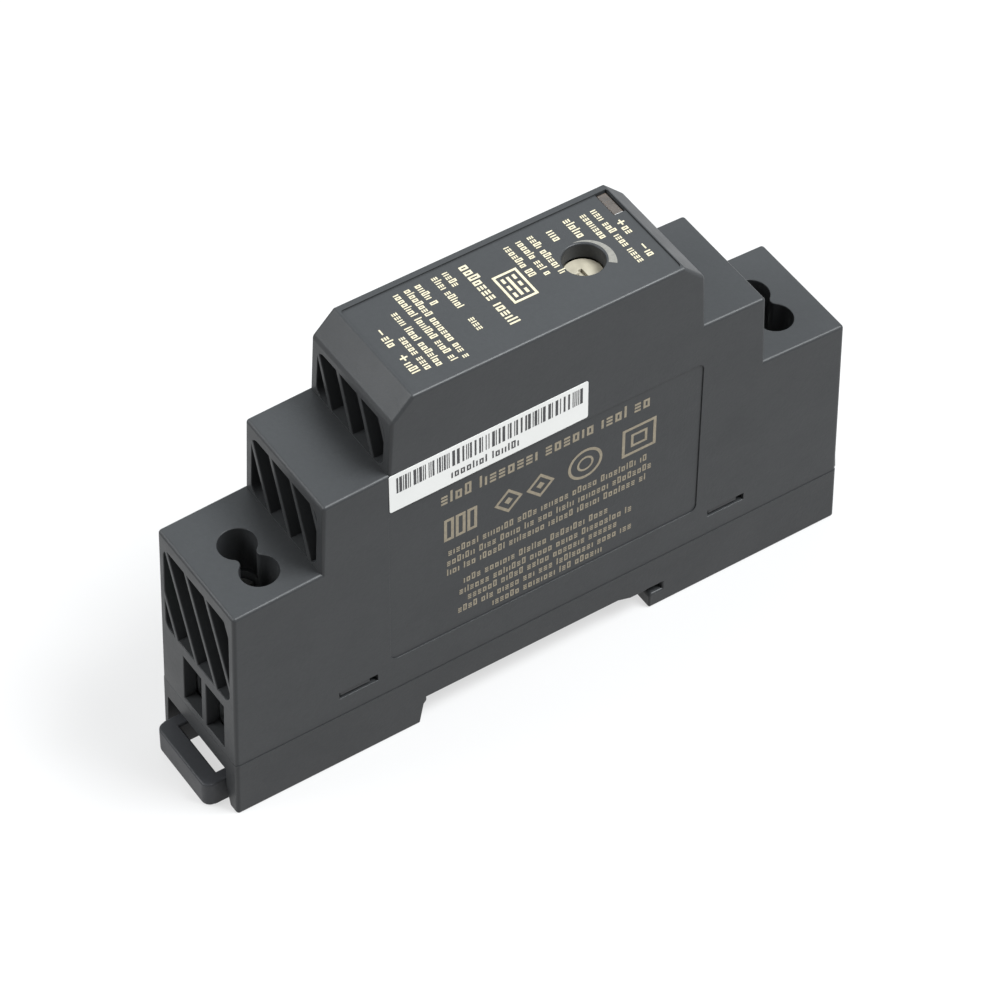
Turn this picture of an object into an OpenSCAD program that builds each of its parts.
// DIN rail power supply in a stepped housing, one module wide.
// X runs across the rail, from the sliding clip's end (-X) to the fixed hook's end (+X).
// Y runs along the rail. Z points away from the rail, and Z = 0 is the rail's front surface.

/* [Overall] */
// Length across the rail, measured at the feet
body_l = 90; // [89:0.5:92]
// Width of the rear cover along the rail
body_w = 17.5; // [17.4:0.1:17.8]
// Height of the front face above the rail
front_z = 55; // [54.5:0.1:56]
// Height of the middle steps above the rail
step2_z = 43.6; // [43.2:0.1:44]
// Height of the terminal shoulders above the rail
step1_z = 32.1; // [31.8:0.1:32.6]
// Length of the raised front block
nose_l = 45; // [44.5:0.1:45.5]
// Length over the middle steps
mid_l = 63.8; // [63:0.1:64.2]
// Depth of the feet behind the rail's surface
foot_h = 3.6; // [3.4:0.1:4]
// Height of the seam between the rear cover and the housing
seam_z = 5.2; // [5:0.1:5.4]

/* [Walls] */
// Thickness of the housing's two long side walls
side_t = 1.2; // [1:0.1:1.3]
// Thickness of its end, step and front walls
wall_t = 1.7; // [1.5:0.1:1.8]

/* [Rail] */
// Width of the rail that the cover fits
rail_w = 35; // [34.7:0.1:35.3]
// Thickness of the rail's flanges
flange_t = 1; // [0.9:0.05:1.1]

/* [Clip] */
// Width of the sliding clip
clip_w = 11.9; // [11.5:0.1:12]
// Height of the clip's pull tab
clip_h = 3.85; // [3.6:0.05:4]
// How far the pull tab stands out past the end of the cover
clip_out = 2.7; // [2:0.1:4]
// How far the clip pulls out
clip_travel = 4; // [3:0.5:4]

/* [Terminals] */
// Distance from the middle to the terminal screws
term_x = 37.5; // [37.3:0.1:37.7]
// Distance between the two poles of a terminal
pole_pitch = 5; // [4.95:0.05:5.1]
// Sideways place of the input terminal's middle
input_y = -1.25; // [-1.4:0.05:-0.4]
// Sideways place of the output terminal's middle
output_y = -0.4; // [-1.4:0.05:-0.3]
// Diameter of the screwdriver holes
driver_d = 4.85; // [4.7:0.05:4.9]
// Width of the neck that joins each pair of screwdriver holes
neck_w = 2.5; // [2:0.1:3]
// Distance between the middles of the two wire entries
entry_pitch = 5.2; // [5.1:0.05:5.2]
// Width of a wire entry
entry_w = 4.15; // [4.1:0.05:4.2]
// Height of a wire entry
entry_h = 7.6; // [7:0.1:7.8]
// How far a clamp cage rises when its screw is tightened
cage_travel = 4; // [3:0.5:4]

/* [Vents] */
// Angle of the vent ribs from upright
rib_angle = 25; // [20:1:30]
// Distance between ribs along the rail
rib_pitch = 4.55; // [4.4:0.05:4.8]
// Thickness of a rib
rib_t = 0.7; // [0.6:0.1:0.9]

/* [Controls] */
// Diameter of the adjuster's hole
adjust_d = 5.3; // [5:0.1:5.5]
// Place of the adjuster across the rail
adjust_x = 10; // [9:0.5:11]
// Length of the indicator window
led_l = 4.1; // [3.5:0.1:4.2]
// Width of the indicator window
led_w = 1.6; // [1.4:0.1:1.7]

/* [Circuit board] */
// Thickness of the board
board_t = 1.6; // [1.5:0.1:1.6]
// Face of the board that carries the parts
board_y = 5; // [4.95:0.05:5.05]

/* [Hidden] */
$fn = 64;

// Small gap between fitted faces, the narrower gap at the seam, and the overshoot of a cut
gap = 0.1;
seam_gap = 0.04;
cut = 1;

// The housing is slightly narrower than the rear cover, and its ends lean in a little
housing_w = body_w - 0.2;
inner_w = housing_w - 2 * side_t;
end_lean = 0.0256;
riser_lean = 0.04;
step1_drop = 0.55;
step2_drop = 0.35;
chamfer = 3;

// Rear cover
seat_t = 1.6;
skirt_z = 0.65;
skirt_t = 1.25;
hook_floor_z = -foot_h + 1.4;
foot_wall_x = rail_w / 2 + 0.4;
hook_tip_x = 15.9;
seat_end_x = 15.6;
seat_relief = 0.05;
hook_gap = flange_t + 0.15;
lean_in = 0.6;

// Sliding clip, with its wings in the cover's grooves
clip_top = -foot_h + gap + clip_h;
clip_end_x = -(body_l / 2 + clip_out);
clip_floor_z = clip_top + 1.6;
clip_bar = 2.5;
clip_slot_l = 8.5;
clip_slot_w = 3.2;
clip_inner_x = -(foot_wall_x + 0.7);
clip_nose_x = -(rail_w / 2 - 1.6);
channel_w = clip_w + 0.5;
wing_z = -2.6;
wing_t = 1.2;
wing_w = clip_w + 2.3;
wing_l = 15.5;
groove_play = 0.25;
mouth_y = 7.6;
mouth_z = 2.4;
groove_inner_x = clip_inner_x - 2.8;
spring_d = 3;
spring_wire = 0.5;
spring_turns = 7;
spring_z = -1.2;
lug_x = -37.8;
lug_t = 1.2;
spring_end_x = -26.1;
spring_pocket = 3.8;

// Terminals, with heights above the rail
entry_z = 6.2;
driver_guide_z = 24.9;
guide_t = 0.75;
block_z0 = 5.7;
block_z1 = 14.9;
block_top = 24.4;
cage_l = 6;
cage_w = 4;
cell_w = 4.4;
cage_floor = 0.8;
cage_side = 0.55;
cage_z = 5.8;
nut_t = 2;
bar_z = 12.4;
bar_t = 1;
bar_w = 2.8;
screw_r = 1.3;
screw_play = 0.05;
head_r = 2.2;
head_h = 1.8;
ledge_z = 20.4;
ledge_t = 1;

// Snap windows in the side walls
snap_z = 8.3;
snap_h = 1.1;
snap_l = 5.5;
snap_x = 27.25;
snap_t = 1;

// Adjuster and indicator on the front
adjust_y = -0.65;
adjust_depth = 2.55;
collar_t = 0.8;
collar_gap = 0.15;
rotor_top = front_z - adjust_depth;
rotor_t = 0.9;
rotor_d = 5;
slot_w = 0.7;
slot_depth = 0.5;
slot_half = 0.8;
hub_r = 1.2;
hub_h = 2.4;
trimmer_s = 6.8;
led_x = 18;
led_y = 5.57;

// Vents: width, lowest and highest edge, and a point [y, z] on the middle line of one rib
end_vent_w = 14.8;
end_vent_z = [15.6, 29.5];
end_rib = [3.6, 22.6];
riser_vent_w = 14.4;
riser1_vent_z = [step1_z + 0.15, step2_z - 2];
riser1_rib = [0.9, 37];
riser2_vent_z = [step2_z + 0.15, front_z - 4.2];
riser2_rib = [1.45, 47.8];
vent_corner = 1.4;

// Shallow printed panels on the front and on each long side, and the paper label
front_panel = [37.6, 15.6];
front_panel_mid = [0.1, -0.2];
front_panel_depth = 0.2;
side_panel = [45.2, 26.4];
side_panel_z = 23.9;
side_panel_depth = 0.15;
label_size = [28, 6.2];
label_mid = [-8.5, 40.5];
label_tilt = -0.6;
label_t = 0.08;

// Middle of the transformer
core_x = -2;
core_y = -1.1;
core_z = 25;

// ---------- Helpers ----------

module block(lo, hi) {
    translate(lo) cube(hi - lo);
}

// Extrudes an outline of [x, z] points along Y
module slab(points, y0, y1) {
    translate([0, y1, 0]) rotate([90, 0, 0]) linear_extrude(height = y1 - y0) polygon(points);
}

// Extrudes a shape drawn in [y, z] along X
module along_x(x0, x1) {
    translate([x0, 0, 0]) rotate([90, 0, 90]) linear_extrude(height = x1 - x0) children();
}

// A cylinder that lies along Y
module y_rod(x, z, r, y0, y1) {
    translate([x, y1, z]) rotate([90, 0, 0]) cylinder(r = r, h = y1 - y0);
}

module both_ends() {
    children();
    mirror([1, 0, 0]) children();
}

module both_sides() {
    children();
    mirror([0, 1, 0]) children();
}

// A rectangle with round corners, drawn about its middle
module round_rect(w, h, r) {
    square([w - 2 * r, h], center = true);
    square([w, h - 2 * r], center = true);
    for (x = [-1, 1], y = [-1, 1])
        translate([x * (w / 2 - r), y * (h / 2 - r)]) circle(r);
}

function mirrored(points) = [for (i = [len(points) - 1 : -1 : 0]) [-points[i][0], points[i][1]]];
function end_x(z) = body_l / 2 - end_lean * (z + foot_h);
function riser1_x(z) = mid_l / 2 - riser_lean * (z - step1_z);
function riser2_x(z) = nose_l / 2 - riser_lean * (z - step2_z);

// The stepped outline of the housing in [x, z], moved in by t, from height z0 up
function step_half(t, z0) = [
    [end_x(z0) - t, z0],
    [end_x(step1_z) - t, step1_z - step1_drop - t],
    [riser1_x(step1_z) - t, step1_z - t],
    [riser1_x(step2_z) - t, step2_z - step2_drop - t],
    [riser2_x(step2_z) - t, step2_z - t],
    [riser2_x(front_z) - t, front_z - chamfer - 0.41 * t],
    [riser2_x(front_z) - chamfer - 0.41 * t, front_z - t]];
function step_outline(t, z0) = concat(step_half(t, z0), mirrored(step_half(t, z0)));

// ---------- Housing ----------

// Two screwdriver holes joined by a narrow neck with round shoulders, grown by t
module driver_holes(t) {
    r = driver_d / 2 + t;
    half = pole_pitch / 2;
    n = neck_w / 2 + t;
    fillet = (n * n + half * half - r * r) / (2 * (r - n));
    touch_y = half * fillet / (r + fillet);
    for (y = [-half, half]) translate([0, y]) circle(r);
    difference() {
        square([2 * (n + fillet), 2 * touch_y], center = true);
        for (x = [-1, 1]) translate([x * (n + fillet), 0]) circle(fillet);
    }
}

// The openings between slanted ribs, in [y, z]
module vent_openings(w, heights, rib) {
    difference() {
        translate([0, (heights[0] + heights[1]) / 2]) round_rect(w, heights[1] - heights[0], vent_corner);
        for (k = [-3 : 3])
            translate([rib[0] + k * rib_pitch, rib[1]]) rotate(-rib_angle)
                square([rib_t, front_z], center = true);
    }
}

module end_cutouts(middle_y) {
    outside = -body_l / 2 - cut;
    along_x(outside, -end_x(step1_z) + wall_t + gap) vent_openings(end_vent_w, end_vent_z, end_rib);
    along_x(-riser1_x(step2_z) - cut, -riser1_x(step1_z) + wall_t + gap)
        vent_openings(riser_vent_w, riser1_vent_z, riser1_rib);
    along_x(-riser2_x(front_z) - cut, -riser2_x(step2_z) + wall_t + gap)
        vent_openings(riser_vent_w, riser2_vent_z, riser2_rib);
    for (side = [-1, 1]) translate([0, middle_y + side * entry_pitch / 2, entry_z])
        block([outside, -entry_w / 2, 0], [-end_x(entry_z) + wall_t + 0.5, entry_w / 2, entry_h]);
    translate([-term_x, middle_y, driver_guide_z - cut])
        linear_extrude(height = step1_z - driver_guide_z + 2 * cut) driver_holes(0);
}

// The holes' sleeve, cut back where the circuit board passes
module driver_guide(middle_y) {
    difference() {
        translate([-term_x, middle_y, driver_guide_z])
            linear_extrude(height = step1_z - wall_t - driver_guide_z) driver_holes(guide_t);
        block([-body_l, board_y - 0.15, 0], [0, body_w, front_z]);
    }
}

// A collar inside the adjuster's hole, down to just above the rotor
module adjuster_collar() {
    low = rotor_top + collar_gap;
    translate([adjust_x, adjust_y, low]) cylinder(d = adjust_d + 2 * collar_t, h = front_z - wall_t - low + cut);
}

module front_cutouts() {
    translate([adjust_x, adjust_y, rotor_top]) cylinder(d = adjust_d, h = adjust_depth + cut);
    block([led_x - led_w / 2, led_y - led_l / 2, front_z - 3],
          [led_x + led_w / 2, led_y + led_l / 2, front_z + cut]);
    translate([front_panel_mid[0], front_panel_mid[1], front_z - front_panel_depth])
        linear_extrude(height = cut) round_rect(front_panel[0], front_panel[1], 0.4);
}

module side_cutouts() {
    for (x = [-snap_x, snap_x])
        block([x - snap_l / 2, inner_w / 2 - cut, snap_z], [x + snap_l / 2, body_w, snap_z + snap_h]);
}

module housing() {
    color("dimgray") difference() {
        union() {
            difference() {
                slab(step_outline(0, seam_z + seam_gap / 2), -housing_w / 2, housing_w / 2);
                slab(step_outline(wall_t, seam_z - cut), -inner_w / 2, inner_w / 2);
            }
            driver_guide(input_y);
            mirror([1, 0, 0]) driver_guide(output_y);
            adjuster_collar();
        }
        end_cutouts(input_y);
        mirror([1, 0, 0]) end_cutouts(output_y);
        front_cutouts();
        both_sides() side_cutouts();
        both_sides() translate([0, side_panel_depth - housing_w / 2, side_panel_z]) rotate([90, 0, 0])
            linear_extrude(height = cut) round_rect(side_panel[0], side_panel[1], 1);
    }
}

module serial_label() {
    color("white") translate([label_mid[0], -housing_w / 2, label_mid[1]]) rotate([90, label_tilt, 0])
        linear_extrude(height = label_t) round_rect(label_size[0], label_size[1], 0.25);
}

module led_window() {
    color("rosybrown") {
        block([led_x - led_w / 2 + gap, led_y - led_l / 2 + gap, front_z - 1.9],
              [led_x + led_w / 2 - gap, led_y + led_l / 2 - gap, front_z - 0.35]);
        block([led_x - led_w / 2 - 0.6, led_y - led_l / 2 - 0.4, front_z - 2.1],
              [led_x + led_w / 2 - 0.5, led_y + led_l / 2 - 0.2, front_z - 1.75]);
    }
}

// ---------- Rear cover ----------

// Outline of the cover in [x, z], with the rail's slot and the fixed hook
function cover_outline() = [
    [-body_l / 2, -foot_h],
    [-foot_wall_x - lean_in, -foot_h],
    [-foot_wall_x, -0.4],
    [-foot_wall_x + 0.4, seat_relief],
    [-seat_end_x, seat_relief],
    [-seat_end_x, 0],
    [seat_end_x, 0],
    [seat_end_x, seat_relief],
    [foot_wall_x, seat_relief],
    [foot_wall_x, -hook_gap],
    [hook_tip_x + 0.3, -hook_gap],
    [hook_tip_x, -hook_gap - 0.4],
    [hook_tip_x, -foot_h],
    [body_l / 2, -foot_h],
    [end_x(seam_z), seam_z - seam_gap / 2],
    [-end_x(seam_z), seam_z - seam_gap / 2]];

// The side walls stop short of the rail, up to a sloped pad beside the hook
function skirt_relief() = [
    [-foot_wall_x + 0.4, -cut],
    [13, -cut],
    [13, 0],
    [11.1, skirt_z],
    [-foot_wall_x + 0.4, skirt_z]];

// A springy tongue that rises from the cover's floor, with a barb for the housing's window
module snap_tongue(x, floor_z) {
    x0 = x - snap_l / 2 + 0.2;
    x1 = x0 + snap_l - 1.3;
    y1 = inner_w / 2 - gap;
    block([x0, y1 - snap_t, floor_z - gap], [x1, y1, snap_z + snap_h]);
    block([x0, y1 - gap, snap_z + 0.45], [x1, housing_w / 2 - 0.15, snap_z + snap_h - 0.1]);
}

// Clearance around the tongues for what stands beside them
module snap_notches() {
    for (x = [-snap_x, snap_x])
        block([x - snap_l / 2 - 0.3, board_y - cut, 0],
              [x + snap_l / 2 + 0.3, body_w, snap_z + snap_h + 0.3]);
}

// The clip's track, with a deeper mouth at the end and a bevel on the mouth's near post
module clip_channel() {
    mouth_x = -body_l / 2 + 2.6;
    block([-body_l, -channel_w / 2, -foot_h - cut], [-foot_wall_x + 0.2, channel_w / 2, clip_top + 0.3]);
    block([-body_l, -channel_w / 2, -foot_h - cut], [mouth_x, mouth_y, mouth_z]);
    along_x(-body_l, mouth_x) translate([-channel_w / 2, 0])
        polygon([[gap, -0.9], [-0.9, -foot_h - gap], [gap, -foot_h - gap]]);
    half = wing_w / 2 + groove_play;
    block([groove_inner_x - wing_l - clip_travel - groove_play, -half, wing_z - groove_play],
          [groove_inner_x + groove_play, half, wing_z + wing_t + groove_play]);
}

// One stretch of the cover's hollow, from its floor up
module tray(x0, x1, floor_z) {
    half = body_w / 2 - skirt_t;
    block([x0, -half, floor_z], [x1, half, seam_z + cut]);
}

module rear_cover() {
    color("dimgray") {
        difference() {
            slab(cover_outline(), -body_w / 2, body_w / 2);
            both_sides() slab(skirt_relief(), body_w / 2 - skirt_t, body_w);
            tray(foot_wall_x + wall_t, body_l / 2 - wall_t, hook_floor_z);
            tray(-foot_wall_x - wall_t, foot_wall_x + wall_t + gap, seat_t);
            tray(-body_l / 2 + 4.3, -foot_wall_x - wall_t + gap, clip_floor_z);
            clip_channel();
        }
        both_sides() {
            snap_tongue(snap_x, hook_floor_z);
            snap_tongue(-snap_x, clip_floor_z);
        }
        block([lug_x, -1.5, -2.3], [lug_x + lug_t, 1.5, clip_top + 0.4]);
    }
}

// ---------- Rail clip ----------

module clip_body() {
    inner = clip_inner_x;
    mid = (clip_end_x + inner) / 2;
    translate([mid, 0, -foot_h + gap]) linear_extrude(height = clip_h) {
        round_rect(inner - clip_end_x, clip_w, 1.2);
        translate([1, 0]) square([inner - clip_end_x - 2, clip_w], center = true);
    }
}

module rail_clip() {
    color("darkslategray") {
        difference() {
            union() {
                clip_body();
                block([groove_inner_x - wing_l, -wing_w / 2, wing_z],
                      [groove_inner_x, wing_w / 2, wing_z + wing_t]);
            }
            block([clip_end_x + clip_bar, -clip_slot_l / 2, -foot_h - cut],
                  [clip_end_x + clip_bar + clip_slot_w, clip_slot_l / 2, cut]);
            block([lug_x - 0.5, -spring_pocket / 2, -2.8], [spring_end_x, spring_pocket / 2, cut]);
        }
        slab([[clip_inner_x - 0.5, -foot_h + gap], [clip_nose_x - 1.4, -foot_h + gap], [clip_nose_x, -2.1],
              [clip_nose_x, -flange_t - 0.12], [clip_inner_x - 0.5, -flange_t - 0.12]], -5.2, 5.2);
    }
}

// A coil spring along X, swept as one closed tube of rings
module clip_spring() {
    steps = 12;
    sides = 6;
    r = (spring_d - spring_wire) / 2;
    x0 = lug_x + lug_t + spring_wire / 2 + 0.02;
    x1 = spring_end_x - spring_wire / 2 - 0.02;
    n = spring_turns * steps;
    lean = atan((x1 - x0) / (spring_turns * 2 * PI * r));
    function wire(i, b) = let (a = 360 * i / steps, w = spring_wire / 2, ru = r + w * cos(b), v = w * sin(b))
        [x0 + (x1 - x0) * i / n + v * cos(lean),
         ru * cos(a) + v * sin(lean) * sin(a),
         spring_z + ru * sin(a) - v * sin(lean) * cos(a)];
    function ring(i) = [for (k = [0 : sides - 1]) wire(i, 360 * k / sides)];
    points = [for (i = [0 : n]) each ring(i)];
    walls = [for (i = [0 : n - 1], k = [0 : sides - 1]) let (m = (k + 1) % sides)
        each [[i * sides + k, i * sides + m, (i + 1) * sides + m],
              [i * sides + k, (i + 1) * sides + m, (i + 1) * sides + k]]];
    first = [for (k = [sides - 1 : -1 : 0]) k];
    last = [for (k = [0 : sides - 1]) n * sides + k];
    color("silver") polyhedron(points = points, faces = concat(walls, [first, last]));
}

// ---------- Terminals ----------

// Plastic body of a two-pole terminal at the -X end: an open compartment for each cage, and a passage
// for each wire whose floor ends in a half-round lip
module terminal_body(middle_y) {
    x_front = -end_x(block_z1) + wall_t + 0.15;
    x_back = -term_x + 4.3;
    y_near = middle_y - pole_pitch / 2 - 2.8;
    cell_l = cage_l + 0.4;
    lip_x = -term_x - cell_l / 2 - entry_w / 2;
    color("darkslategray") difference() {
        union() {
            block([x_front, y_near, block_z0], [x_back, board_y, block_z1]);
            block([-term_x - cell_l / 2 - 0.6, y_near, block_z1 - gap], [x_back - 0.5, board_y, block_top]);
        }
        for (side = [-1, 1]) translate([0, middle_y + side * entry_pitch / 2, 0]) {
            block([-body_l, -entry_w / 2, entry_z], [-term_x, entry_w / 2, entry_z + entry_h - gap]);
            difference() {
                block([lip_x, -entry_w / 2, block_z0 - cut], [-term_x, entry_w / 2, block_z1 - cut]);
                translate([lip_x, 0, 0]) cylinder(r = entry_w / 2, h = entry_z);
            }
        }
        for (side = [-1, 1]) translate([-term_x, middle_y + side * pole_pitch / 2, 0]) {
            block([-cell_l / 2, -cell_w / 2, block_z0 - cut], [cell_l / 2, cell_w / 2, ledge_z]);
            block([0, -bar_w / 2 - gap, bar_z - gap], [body_l, bar_w / 2 + gap, bar_z + bar_t + gap]);
            cylinder(r = screw_r + 0.2, h = block_top + cut);
            translate([0, 0, ledge_z + ledge_t]) cylinder(r = head_r + 0.2, h = block_top);
        }
    }
}

module terminal_screw(x, y) {
    head_z = ledge_z + ledge_t + screw_play;
    color("silver") translate([x, y, 0]) difference() {
        union() {
            translate([0, 0, bar_z + bar_t + screw_play])
                cylinder(r = screw_r, h = head_z - bar_z - bar_t);
            translate([0, 0, head_z]) cylinder(r = head_r, h = head_h);
        }
        block([-head_r - cut, -0.4, head_z + head_h - 1], [head_r + cut, 0.4, head_z + head_h + cut]);
        block([-0.4, -1.5, head_z + head_h - 1], [0.4, 1.5, head_z + head_h + cut]);
    }
}

// A clamp cage: the wire lies on its floor, and its threaded top runs on the screw
module clamp_cage(x, y) {
    top = bar_z + bar_t + 0.6 + nut_t;
    color("gold") translate([x, y, 0]) difference() {
        block([-cage_l / 2, -cage_w / 2, cage_z], [cage_l / 2, cage_w / 2, top]);
        block([-cage_l, -cage_w / 2 + cage_side, cage_z + cage_floor],
              [cage_l, cage_w / 2 - cage_side, top - nut_t]);
        translate([0, 0, top - nut_t - cut]) cylinder(r = screw_r + screw_play, h = nut_t + 2 * cut);
    }
}

// The two fixed bars that the cages pull the wires against, with tails through the board
module contacts(middle_y) {
    color("silver") for (side = [-1, 1]) {
        y = middle_y + side * pole_pitch / 2;
        x_end = -term_x + (side > 0 ? 5.4 : 6.9);
        block([-term_x - 2.9, y - bar_w / 2, bar_z], [x_end, y + bar_w / 2, bar_z + bar_t]);
        block([x_end - 0.9, y, bar_z], [x_end, board_y + board_t + 0.5, bar_z + bar_t]);
    }
}

module contact_slots() {
    for (tail = [5.4, 6.9])
        block([-term_x + tail - 0.9 - gap, board_y - cut, bar_z - gap],
              [-term_x + tail + gap, board_y + board_t + cut, bar_z + bar_t + gap]);
}

module input_terminal_body() { terminal_body(input_y); }
module output_terminal_body() { mirror([1, 0, 0]) terminal_body(output_y); }
module input_screw_neg() { terminal_screw(-term_x, input_y + pole_pitch / 2); }
module input_screw_pos() { terminal_screw(-term_x, input_y - pole_pitch / 2); }
module output_screw_pos() { terminal_screw(term_x, output_y + pole_pitch / 2); }
module output_screw_neg() { terminal_screw(term_x, output_y - pole_pitch / 2); }
module input_cage_neg() { clamp_cage(-term_x, input_y + pole_pitch / 2); }
module input_cage_pos() { clamp_cage(-term_x, input_y - pole_pitch / 2); }
module output_cage_pos() { clamp_cage(term_x, output_y + pole_pitch / 2); }
module output_cage_neg() { clamp_cage(term_x, output_y - pole_pitch / 2); }
module input_contacts() { contacts(input_y); }
module output_contacts() { mirror([1, 0, 0]) contacts(output_y); }

// ---------- Adjuster and indicator ----------

module trimmer_body() {
    top = rotor_top - rotor_t - 0.05;
    half = trimmer_s / 2;
    color("black") {
        difference() {
            block([adjust_x - half, adjust_y - half, top - 3.6], [adjust_x + half, adjust_y + half, top]);
            translate([adjust_x, adjust_y, top - hub_h - 0.1]) cylinder(r = hub_r + 0.05, h = hub_h + cut);
        }
        for (x = [-2.5, 0, 2.5])
            block([adjust_x + x - 0.3, adjust_y + half, top - 2.2], [adjust_x + x + 0.3, board_y, top - 1.8]);
    }
}

module trimmer_rotor() {
    color("cornsilk") translate([adjust_x, adjust_y, 0]) difference() {
        union() {
            translate([0, 0, rotor_top - rotor_t]) cylinder(d = rotor_d, h = rotor_t);
            translate([0, 0, rotor_top - rotor_t - hub_h]) cylinder(r = hub_r, h = hub_h + 0.1);
        }
        block([-rotor_d, -slot_w / 2, rotor_top - slot_depth], [0.3, slot_w / 2, rotor_top + cut]);
        block([-0.3, -slot_half, rotor_top - slot_depth], [0.3, slot_half, rotor_top + cut]);
    }
}

module led() {
    color("palegreen") {
        block([led_x - 1, board_y - 0.8, front_z - 4.2], [led_x + 1, board_y, front_z - 3.2]);
        translate([led_x, board_y - 0.4, front_z - 3.2]) cylinder(r = 0.4, h = 0.5);
    }
}

// ---------- Circuit ----------

module circuit_board() {
    color("darkgreen") difference() {
        slab(step_outline(wall_t + 0.6, seam_z + 1.4), board_y, board_y + board_t);
        snap_notches();
        contact_slots();
        mirror([1, 0, 0]) contact_slots();
    }
}

module insulating_sheet() {
    sheet_y = inner_w / 2 - 0.05;
    color("khaki") difference() {
        slab(step_outline(wall_t + 1, seam_z + 1), sheet_y - 0.15, sheet_y);
        snap_notches();
    }
}

module transformer_core() {
    color("dimgray") translate([core_x, core_y, core_z]) difference() {
        cube([16.4, 8, 14], center = true);
        for (s = [-1, 1]) translate([s * 4.3, 0, 0]) cube([3.4, 9, 9.8], center = true);
    }
}

module transformer_bobbin() {
    color("black") translate([core_x, core_y, core_z]) difference() {
        union() {
            cube([6.4, 9.6, 9.4], center = true);
            for (s = [-1, 1]) translate([0, 0, s * 4.3]) cube([11.6, 11.8, 0.8], center = true);
            for (s = [-1, 1], k = [-2 : 2]) translate([k * 2.4, 5.5, s * 4.3]) rotate([90, 0, 0])
                cylinder(r = 0.3, h = 1.2, center = true);
        }
        cube([5.4, 8.2, 12], center = true);
    }
}

module transformer_winding() {
    color("gold") translate([core_x, core_y, core_z - 3.85]) linear_extrude(height = 7.7) difference() {
        round_rect(11, 11.2, 1.6);
        square([6.5, 9.7], center = true);
    }
}

// A can with a rolled groove near its base, its leads bent over to the board
module electrolytic(x, z, r, h) {
    y = board_y - r - 0.3;
    translate([x, y, z]) rotate_extrude() polygon([
        [0, 0], [r - 0.3, 0], [r, 0.3], [r, 1.2], [r - 0.35, 1.6], [r, 2],
        [r, h - 0.4], [r - 0.4, h], [r - 1, h], [r - 1, h - 0.2], [0, h - 0.2]]);
    for (s = [-1, 1]) {
        translate([x + s * r / 2, y, z - 1.6]) cylinder(r = 0.35, h = 1.7);
        y_rod(x + s * r / 2, z - 1.2, 0.25, y, board_y);
    }
}

module input_capacitor() {
    color("slategray") electrolytic(-22, 11, 5, 16);
}

module output_capacitors() {
    color("slategray") for (x = [14.5, 24]) electrolytic(x, 11, 4, 12.5);
}

// A drum core on the board, with its winding between two flanges
module choke_core(x, z) {
    color("dimgray") translate([x, board_y, z]) rotate([90, 0, 0]) rotate_extrude()
        polygon([[0, 0], [4.2, 0], [4.2, 1.3], [2, 1.3], [2, 7.5], [4.2, 7.5], [4.2, 8.8], [0, 8.8]]);
}

module choke_winding(x, z) {
    color("goldenrod") translate([x, board_y, z]) rotate([90, 0, 0]) rotate_extrude()
        translate([2.03, 1.35]) square([1.7, 6.1]);
}

module input_choke_core() { choke_core(-20, 36.2); }
module input_choke_winding() { choke_winding(-20, 36.2); }
module output_choke_core() { choke_core(19.5, 32); }
module output_choke_winding() { choke_winding(19.5, 32); }

// A flat power package on the board, with its metal tab upward and its leads downward
module power_package(x, z) {
    block([x - 3.3, board_y - 2.3, z], [x + 3.3, board_y, z + 6.1]);
    block([x - 2.6, board_y - 0.5, z + 6], [x + 2.6, board_y, z + 7.2]);
    for (s = [-1, 1])
        block([x + s * 2.3 - 0.4, board_y - 0.6, z - 2], [x + s * 2.3 + 0.4, board_y, z + gap]);
}

// A chip with two rows of leads, drawn from its lower left corner
module chip(x, z, w, h, t, leads) {
    block([x, board_y - t, z], [x + w, board_y, z + h]);
    for (k = [0 : leads - 1], s = [0, 1]) {
        lx = x + (k + 0.5) * w / leads;
        lz = s == 0 ? z - 0.9 : z + h - gap;
        block([lx - 0.25, board_y - 0.3, lz], [lx + 0.25, board_y, lz + 1]);
    }
}

module switching_transistor() { color("black") power_package(-11.5, 38); }
module rectifier() { color("black") power_package(9.5, 36); }
module controller_chip() { color("black") chip(-5.5, 43.5, 5, 4, 1.6, 4); }
module optocoupler() { color("black") chip(0.5, 37, 4.8, 6.4, 3, 2); }
module surge_suppressor() { color("black") chip(-16.5, 12, 4, 6.8, 2.4, 1); }

module fuse() {
    color("silver") block([-28.5, board_y - 2.6, 28.6], [-20.5, board_y, 31.2]);
}

module small_parts(places, size) {
    for (p = places) block([p[0], board_y - size[1], p[1]], [p[0] + size[0], board_y, p[1] + size[2]]);
}

module ceramic_capacitors() {
    color("tan") small_parts([for (k = [0 : 3]) [-10.5 + 4.6 * k, 14]], [3.2, 1.6, 2.5]);
}

module chip_resistors() {
    color("black") {
        small_parts([for (k = [0 : 4]) [-13.5 + 3.2 * k, 10.5]], [2, 0.5, 1.2]);
        small_parts([for (k = [0 : 2]) [-14 + 2.6 * k, 49.2]], [2, 0.5, 1.2]);
    }
}

housing();
rear_cover();
rail_clip();
clip_spring();
serial_label();
led_window();
led();
trimmer_body();
trimmer_rotor();
circuit_board();
insulating_sheet();
input_terminal_body();
output_terminal_body();
input_screw_neg();
input_screw_pos();
output_screw_pos();
output_screw_neg();
input_cage_neg();
input_cage_pos();
output_cage_pos();
output_cage_neg();
input_contacts();
output_contacts();
transformer_core();
transformer_bobbin();
transformer_winding();
input_capacitor();
output_capacitors();
input_choke_core();
input_choke_winding();
output_choke_core();
output_choke_winding();
switching_transistor();
rectifier();
controller_chip();
optocoupler();
fuse();
surge_suppressor();
ceramic_capacitors();
chip_resistors();
